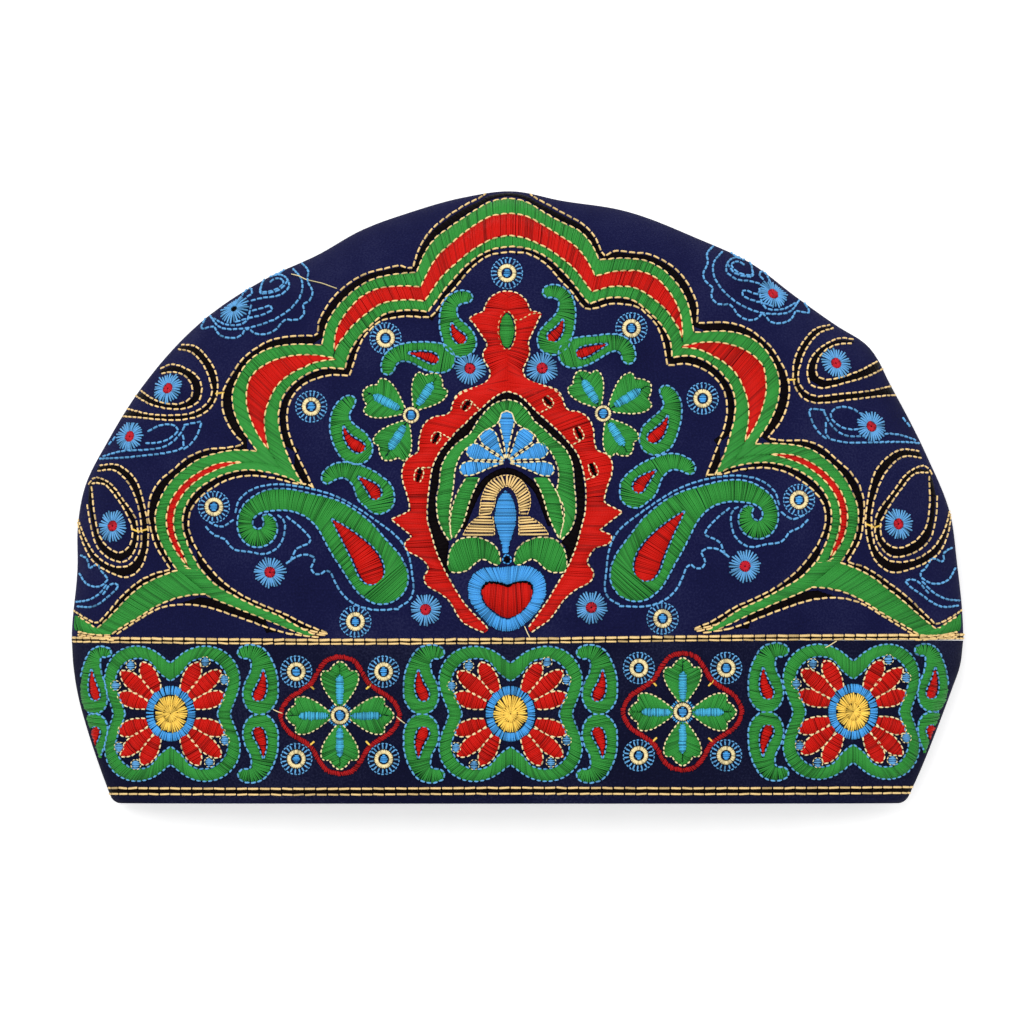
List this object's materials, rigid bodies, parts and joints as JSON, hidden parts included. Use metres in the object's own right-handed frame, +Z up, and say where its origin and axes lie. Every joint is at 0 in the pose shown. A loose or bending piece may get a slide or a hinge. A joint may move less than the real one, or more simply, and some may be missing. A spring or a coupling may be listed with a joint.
{
  "type": "embroidered turban cap",
  "caption": "Soft cotton turban cap lying on its back: half-round embroidered crown on a straight embroidered head band, with a plain gathered back and an open rim for the head.",
  "frame": {"origin": "under the middle of the cap's bounding box, on the surface that the cap lies on", "axes": "+Z up, out of the embroidered front; +Y from the rim towards the top of the crown; +X to the right of the front as the picture shows it"},
  "size_m": [0.277, 0.19, 0.0499],
  "materials": {
    "crown_cloth": "matt navy cotton twill",
    "band_cloth": "matt dark navy cotton twill"
  },
  "bodies": {
    "root": {"crown_front": "crown_cloth", "crown_back": "crown_cloth", "band_front": "band_cloth", "band_back": "band_cloth"}
  },
  "joints": []
}
